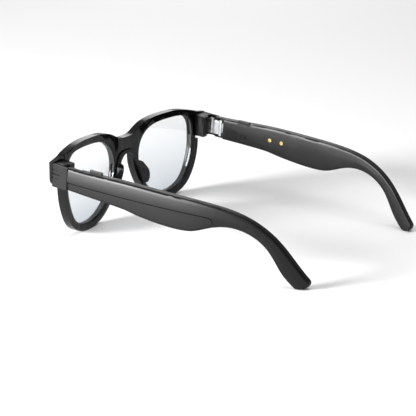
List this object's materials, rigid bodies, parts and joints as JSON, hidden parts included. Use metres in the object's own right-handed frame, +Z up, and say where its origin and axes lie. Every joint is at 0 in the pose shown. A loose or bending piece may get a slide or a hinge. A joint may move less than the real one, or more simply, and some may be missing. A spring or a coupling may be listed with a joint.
{
  "type": "smart glasses",
  "caption": "Full-rim smart glasses with clear lenses, spring-hinged folding temples that hold the electronics, top press buttons and charging contacts.",
  "frame": {"origin": "centre of the bounding box's base, on the table the glasses stand on", "axes": "+X to the wearer's left, +Y from the lenses towards the ears, +Z up"},
  "size_m": [0.1488, 0.1576, 0.0518],
  "materials": {
    "front_gloss": "gloss black acetate-like plastic",
    "shell_satin": "satin soft-touch dark grey",
    "shell_black": "matte black",
    "lens_clear": "clear coated lens",
    "saddle": "matte black",
    "hinge_steel": "polished steel",
    "screw_steel": "machined steel",
    "spring_steel": "drawn wire",
    "button_black": "semi-gloss black",
    "switch_body": "moulded",
    "board_green": "solder mask",
    "module_can": "tinned can",
    "battery_foil": "laminated foil",
    "speaker_black": "moulded",
    "grille_steel": "blackened",
    "mic_can": "plated can",
    "contact_gold": "gold plated",
    "magnet": "nickel plated",
    "lead_amber": "polyimide film",
    "light_clear": "clear"
  },
  "bodies": {
    "front": {"frame_front": "front_gloss", "nose_saddle": "saddle", "lens_left": "lens_clear", "lens_right": "lens_clear", "endpiece_left": "shell_satin", "endpiece_right": "shell_satin", "hinge_leaf_left": "hinge_steel", "hinge_leaf_right": "hinge_steel", "hinge_screw_left": "screw_steel", "hinge_screw_right": "screw_steel"},
    "carriage_left": {"hinge_carriage_left": "hinge_steel", "guide_rod_left": "screw_steel"},
    "temple_left": {"hinge_box_left": "hinge_steel", "hinge_spring_left": "spring_steel", "outer_cover_left": "shell_satin", "lower_panel_left": "shell_black", "outer_housing_left": "shell_satin", "inner_housing_left": "shell_satin", "switch_left": "switch_body", "light_pipe_left": "light_clear", "circuit_board_left": "board_green", "radio_module_left": "module_can", "battery_left": "battery_foil", "speaker_left": "speaker_black", "speaker_grille_left": "grille_steel", "microphone_left": "mic_can", "charge_contacts_left": "contact_gold", "charge_magnet_left": "magnet", "battery_lead_left": "lead_amber"},
    "button_left": {"button_left": "button_black"},
    "carriage_right": {"hinge_carriage_right": "hinge_steel", "guide_rod_right": "screw_steel"},
    "temple_right": {"hinge_box_right": "hinge_steel", "hinge_spring_right": "spring_steel", "outer_cover_right": "shell_satin", "lower_panel_right": "shell_black", "outer_housing_right": "shell_satin", "inner_housing_right": "shell_satin", "switch_right": "switch_body", "light_pipe_right": "light_clear", "circuit_board_right": "board_green", "radio_module_right": "module_can", "battery_right": "battery_foil", "speaker_right": "speaker_black", "speaker_grille_right": "grille_steel", "microphone_right": "mic_can", "charge_contacts_right": "contact_gold", "charge_magnet_right": "magnet", "battery_lead_right": "lead_amber"},
    "button_right": {"button_right": "button_black"}
  },
  "joints": [
    {"name": "fold_left", "type": "hinge", "parent": "front", "child": "carriage_left", "pos_m": [0.069, -0.06164, 0.03891], "axis": [0, 0.0732, 0.9973], "range_deg": [0, 86]},
    {"name": "spring_slide_left", "type": "slide", "parent": "carriage_left", "child": "temple_left", "axis": [0, 0.9973, -0.0732], "range_m": [0, 0.0015], "stiffness_N_per_m": 4000, "deforming": ["hinge_spring_left"]},
    {"name": "button_press_left", "type": "slide", "parent": "temple_left", "child": "button_left", "axis": [0, -0.0732, -0.9973], "range_m": [0, 0.00035], "stiffness_N_per_m": 800},
    {"name": "fold_right", "type": "hinge", "parent": "front", "child": "carriage_right", "pos_m": [-0.069, -0.06164, 0.03891], "axis": [0, 0.0732, 0.9973], "range_deg": [-80.5, 0]},
    {"name": "spring_slide_right", "type": "slide", "parent": "carriage_right", "child": "temple_right", "axis": [0, 0.9973, -0.0732], "range_m": [0, 0.0015], "stiffness_N_per_m": 4000, "deforming": ["hinge_spring_right"]},
    {"name": "button_press_right", "type": "slide", "parent": "temple_right", "child": "button_right", "axis": [0, -0.0732, -0.9973], "range_m": [0, 0.00035], "stiffness_N_per_m": 800}
  ]
}
